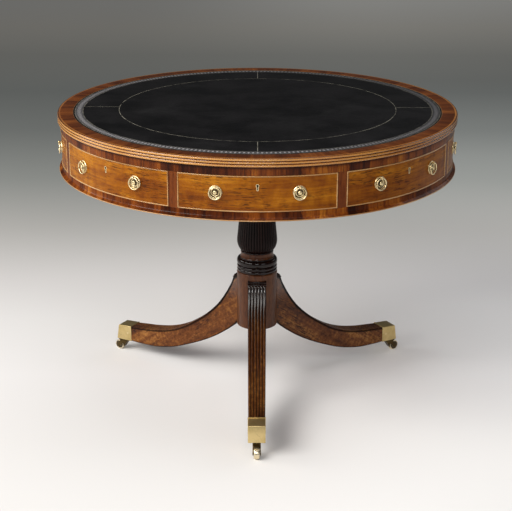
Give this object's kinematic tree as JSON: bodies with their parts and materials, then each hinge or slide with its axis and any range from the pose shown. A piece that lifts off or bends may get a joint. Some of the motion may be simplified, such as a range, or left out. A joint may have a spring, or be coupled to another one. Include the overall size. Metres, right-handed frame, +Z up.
{
  "type": "drum table",
  "caption": "Round writing table with a leather top on a turning drum of drawers and dummy drawers, a reeded column and three sabre legs on castors.",
  "frame": {"origin": "on the floor under the middle of the column", "axes": "+Z up along the column; -Y towards the front leg and the front drawer; +X to the right as seen from the front"},
  "size_m": [0.9951, 0.9952, 0.75],
  "materials": {
    "mahogany": "french polished",
    "dark_mahogany": "dark polish",
    "oak": "bare, aged",
    "leather": "black, tooled",
    "brass": "polished",
    "iron": "dark"
  },
  "bodies": {
    "pedestal": {"column": "dark_mahogany", "leg_front": "mahogany", "leg_back_right": "mahogany", "leg_back_left": "mahogany", "toe_caps": "brass", "toe_cap_screws": "brass", "column_plate": "iron", "column_plate_screws": "iron", "bearer": "dark_mahogany", "spindle": "iron", "spindle_nut": "iron"},
    "drum": {"spindle_bush": "brass", "top_board": "mahogany", "leather_top": "leather", "top_crossbanding": "mahogany", "carcase_top": "mahogany", "carcase_bottom": "mahogany", "base_bead": "mahogany", "stiles": "mahogany", "drawer_guides": "oak", "dummy_fronts": "mahogany", "dummy_brassware": "brass"},
    "drawer_front": {"drawer_front_front": "mahogany", "drawer_front_box": "oak", "drawer_front_bottom": "oak", "drawer_front_brassware": "brass"},
    "drawer_right": {"drawer_right_front": "mahogany", "drawer_right_box": "oak", "drawer_right_bottom": "oak", "drawer_right_brassware": "brass"},
    "drawer_back": {"drawer_back_front": "mahogany", "drawer_back_box": "oak", "drawer_back_bottom": "oak", "drawer_back_brassware": "brass"},
    "drawer_left": {"drawer_left_front": "mahogany", "drawer_left_box": "oak", "drawer_left_bottom": "oak", "drawer_left_brassware": "brass"},
    "drawer_front_ring_a": {"drawer_front_ring_a": "brass"},
    "drawer_front_ring_b": {"drawer_front_ring_b": "brass"},
    "drawer_right_ring_a": {"drawer_right_ring_a": "brass"},
    "drawer_right_ring_b": {"drawer_right_ring_b": "brass"},
    "drawer_back_ring_a": {"drawer_back_ring_a": "brass"},
    "drawer_back_ring_b": {"drawer_back_ring_b": "brass"},
    "drawer_left_ring_a": {"drawer_left_ring_a": "brass"},
    "drawer_left_ring_b": {"drawer_left_ring_b": "brass"},
    "dummy_front_right_ring_a": {"dummy_front_right_ring_a": "brass"},
    "dummy_front_right_ring_b": {"dummy_front_right_ring_b": "brass"},
    "dummy_back_right_ring_a": {"dummy_back_right_ring_a": "brass"},
    "dummy_back_right_ring_b": {"dummy_back_right_ring_b": "brass"},
    "dummy_back_left_ring_a": {"dummy_back_left_ring_a": "brass"},
    "dummy_back_left_ring_b": {"dummy_back_left_ring_b": "brass"},
    "dummy_front_left_ring_a": {"dummy_front_left_ring_a": "brass"},
    "dummy_front_left_ring_b": {"dummy_front_left_ring_b": "brass"},
    "castor_front_fork": {"castor_front_fork": "brass"},
    "castor_front_wheel": {"castor_front_wheel": "brass"},
    "castor_back_right_fork": {"castor_back_right_fork": "brass"},
    "castor_back_right_wheel": {"castor_back_right_wheel": "brass"},
    "castor_back_left_fork": {"castor_back_left_fork": "brass"},
    "castor_back_left_wheel": {"castor_back_left_wheel": "brass"}
  },
  "joints": [
    {"name": "drum_swivel", "type": "hinge", "parent": "pedestal", "child": "drum", "pos_m": [0, 0, 0.6076], "axis": [0, 0, 1], "continuous": true},
    {"name": "drawer_front_slide", "type": "slide", "parent": "drum", "child": "drawer_front", "axis": [0, -1, 0], "range_m": [0, 0.24]},
    {"name": "drawer_right_slide", "type": "slide", "parent": "drum", "child": "drawer_right", "axis": [1, 0, 0], "range_m": [0, 0.24]},
    {"name": "drawer_back_slide", "type": "slide", "parent": "drum", "child": "drawer_back", "axis": [0, 1, 0], "range_m": [0, 0.24]},
    {"name": "drawer_left_slide", "type": "slide", "parent": "drum", "child": "drawer_left", "axis": [-1, 0, 0], "range_m": [0, 0.24]},
    {"name": "drawer_front_ring_a_hinge", "type": "hinge", "parent": "drawer_front", "child": "drawer_front_ring_a", "pos_m": [-0.09373, -0.48676, 0.68244], "axis": [-0.982, 0.1891, 0], "range_deg": [0, 100]},
    {"name": "drawer_front_ring_b_hinge", "type": "hinge", "parent": "drawer_front", "child": "drawer_front_ring_b", "pos_m": [0.09373, -0.48676, 0.68244], "axis": [-0.982, -0.1891, 0], "range_deg": [0, 100]},
    {"name": "drawer_right_ring_a_hinge", "type": "hinge", "parent": "drawer_right", "child": "drawer_right_ring_a", "pos_m": [0.48676, -0.09373, 0.68244], "axis": [-0.1891, -0.982, 0], "range_deg": [0, 100]},
    {"name": "drawer_right_ring_b_hinge", "type": "hinge", "parent": "drawer_right", "child": "drawer_right_ring_b", "pos_m": [0.48676, 0.09373, 0.68244], "axis": [0.1891, -0.982, 0], "range_deg": [0, 100]},
    {"name": "drawer_back_ring_a_hinge", "type": "hinge", "parent": "drawer_back", "child": "drawer_back_ring_a", "pos_m": [0.09373, 0.48676, 0.68244], "axis": [0.982, -0.1891, 0], "range_deg": [0, 100]},
    {"name": "drawer_back_ring_b_hinge", "type": "hinge", "parent": "drawer_back", "child": "drawer_back_ring_b", "pos_m": [-0.09373, 0.48676, 0.68244], "axis": [0.982, 0.1891, 0], "range_deg": [0, 100]},
    {"name": "drawer_left_ring_a_hinge", "type": "hinge", "parent": "drawer_left", "child": "drawer_left_ring_a", "pos_m": [-0.48676, 0.09373, 0.68244], "axis": [0.1891, 0.982, 0], "range_deg": [0, 100]},
    {"name": "drawer_left_ring_b_hinge", "type": "hinge", "parent": "drawer_left", "child": "drawer_left_ring_b", "pos_m": [-0.48676, -0.09373, 0.68244], "axis": [-0.1891, 0.982, 0], "range_deg": [0, 100]},
    {"name": "dummy_front_right_ring_a_hinge", "type": "hinge", "parent": "drum", "child": "dummy_front_right_ring_a", "pos_m": [0.27791, -0.41047, 0.68244], "axis": [-0.8281, -0.5606, 0], "range_deg": [0, 100]},
    {"name": "dummy_front_right_ring_b_hinge", "type": "hinge", "parent": "drum", "child": "dummy_front_right_ring_b", "pos_m": [0.41047, -0.27791, 0.68244], "axis": [-0.5606, -0.8281, 0], "range_deg": [0, 100]},
    {"name": "dummy_back_right_ring_a_hinge", "type": "hinge", "parent": "drum", "child": "dummy_back_right_ring_a", "pos_m": [0.41047, 0.27791, 0.68244], "axis": [0.5606, -0.8281, 0], "range_deg": [0, 100]},
    {"name": "dummy_back_right_ring_b_hinge", "type": "hinge", "parent": "drum", "child": "dummy_back_right_ring_b", "pos_m": [0.27791, 0.41047, 0.68244], "axis": [0.8281, -0.5606, 0], "range_deg": [0, 100]},
    {"name": "dummy_back_left_ring_a_hinge", "type": "hinge", "parent": "drum", "child": "dummy_back_left_ring_a", "pos_m": [-0.27791, 0.41047, 0.68244], "axis": [0.8281, 0.5606, 0], "range_deg": [0, 100]},
    {"name": "dummy_back_left_ring_b_hinge", "type": "hinge", "parent": "drum", "child": "dummy_back_left_ring_b", "pos_m": [-0.41047, 0.27791, 0.68244], "axis": [0.5606, 0.8281, 0], "range_deg": [0, 100]},
    {"name": "dummy_front_left_ring_a_hinge", "type": "hinge", "parent": "drum", "child": "dummy_front_left_ring_a", "pos_m": [-0.41047, -0.27791, 0.68244], "axis": [-0.5606, 0.8281, 0], "range_deg": [0, 100]},
    {"name": "dummy_front_left_ring_b_hinge", "type": "hinge", "parent": "drum", "child": "dummy_front_left_ring_b", "pos_m": [-0.27791, -0.41047, 0.68244], "axis": [-0.8281, 0.5606, 0], "range_deg": [0, 100]},
    {"name": "castor_front_swivel", "type": "hinge", "parent": "pedestal", "child": "castor_front_fork", "pos_m": [0, -0.425, 0.0385], "axis": [0, 0, 1], "continuous": true},
    {"name": "castor_front_roll", "type": "hinge", "parent": "castor_front_fork", "child": "castor_front_wheel", "pos_m": [0, -0.445, 0.014], "axis": [1, 0, 0], "continuous": true},
    {"name": "castor_back_right_swivel", "type": "hinge", "parent": "pedestal", "child": "castor_back_right_fork", "pos_m": [0.36806, 0.2125, 0.0385], "axis": [0, 0, 1], "continuous": true},
    {"name": "castor_back_right_roll", "type": "hinge", "parent": "castor_back_right_fork", "child": "castor_back_right_wheel", "pos_m": [0.38538, 0.2225, 0.014], "axis": [-0.5, 0.866, 0], "continuous": true},
    {"name": "castor_back_left_swivel", "type": "hinge", "parent": "pedestal", "child": "castor_back_left_fork", "pos_m": [-0.36806, 0.2125, 0.0385], "axis": [0, 0, 1], "continuous": true},
    {"name": "castor_back_left_roll", "type": "hinge", "parent": "castor_back_left_fork", "child": "castor_back_left_wheel", "pos_m": [-0.38538, 0.2225, 0.014], "axis": [-0.5, -0.866, 0], "continuous": true}
  ]
}
